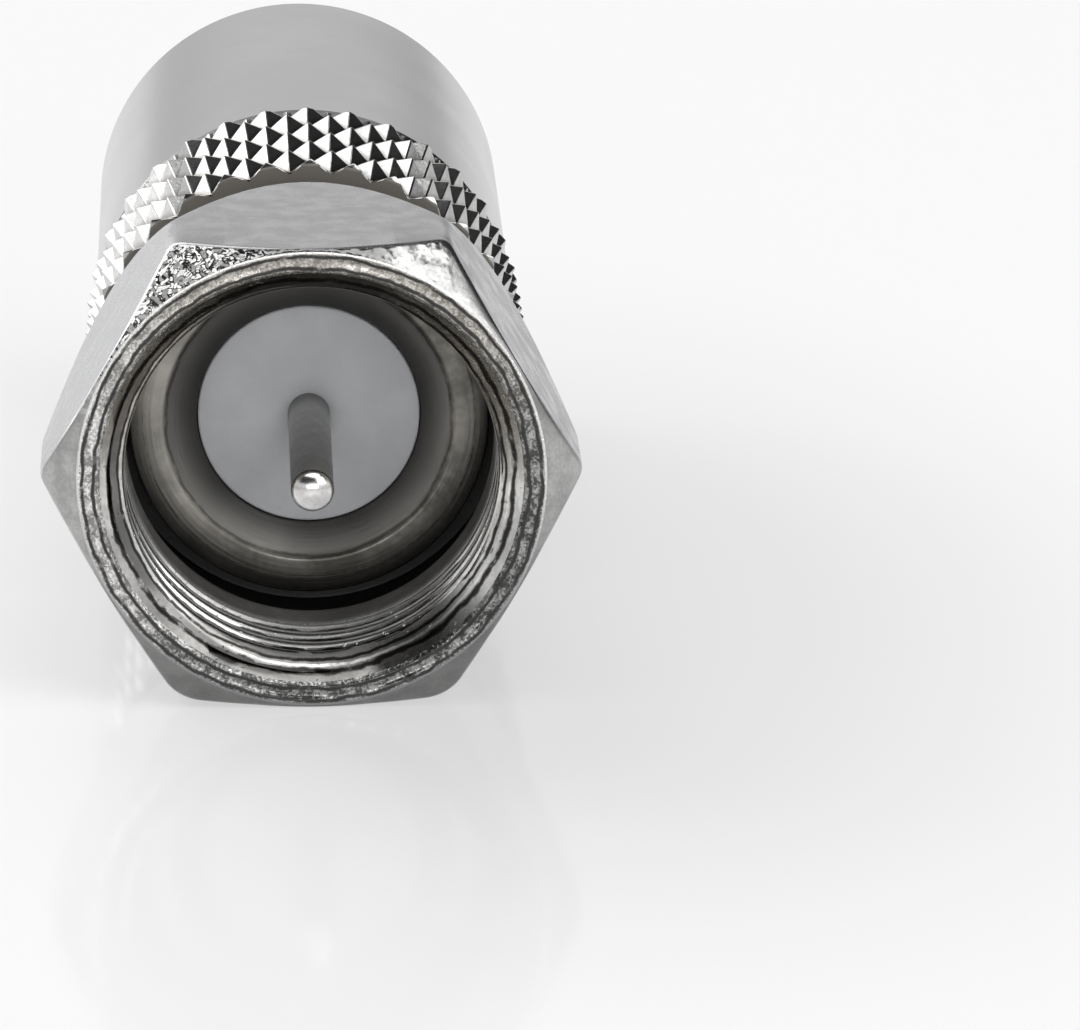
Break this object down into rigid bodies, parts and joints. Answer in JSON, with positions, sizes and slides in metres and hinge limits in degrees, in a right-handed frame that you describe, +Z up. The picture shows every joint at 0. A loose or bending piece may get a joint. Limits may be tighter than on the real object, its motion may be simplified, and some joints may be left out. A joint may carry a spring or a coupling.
{
  "type": "f connector adapter",
  "caption": "Nickel-plated adapter with a hexagonal swivel nut and centre pin at one end and a smooth round coaxial socket behind a knurled grip at the other.",
  "frame": {"origin": "centre of the footprint on the surface that it lies on, below the middle of its length", "axes": "+Z up, +Y along the connector's axis from the nut's open end towards the rear socket, +X to the right seen from the nut's end"},
  "size_m": [0.0128, 0.0292, 0.0111],
  "materials": {
    "nut_nickel": "satin nickel plate, lightly worn",
    "body_nickel": "satin nickel plate",
    "post_metal": "dull turned metal",
    "pin_metal": "dull shaft, bright tip",
    "contact_metal": "bright plated",
    "insulator_plastic": "milky polythene"
  },
  "bodies": {
    "adapter": {"body": "body_nickel", "post": "post_metal", "front_insulator": "insulator_plastic", "centre_pin": "pin_metal", "rear_insulator": "insulator_plastic", "socket_contact": "contact_metal"},
    "nut": {"coupling_nut": "nut_nickel"}
  },
  "joints": [
    {"name": "nut_spin", "type": "hinge", "parent": "adapter", "child": "nut", "pos_m": [0, -0.0059, 0.00555], "axis": [0, 1, 0], "continuous": true}
  ]
}
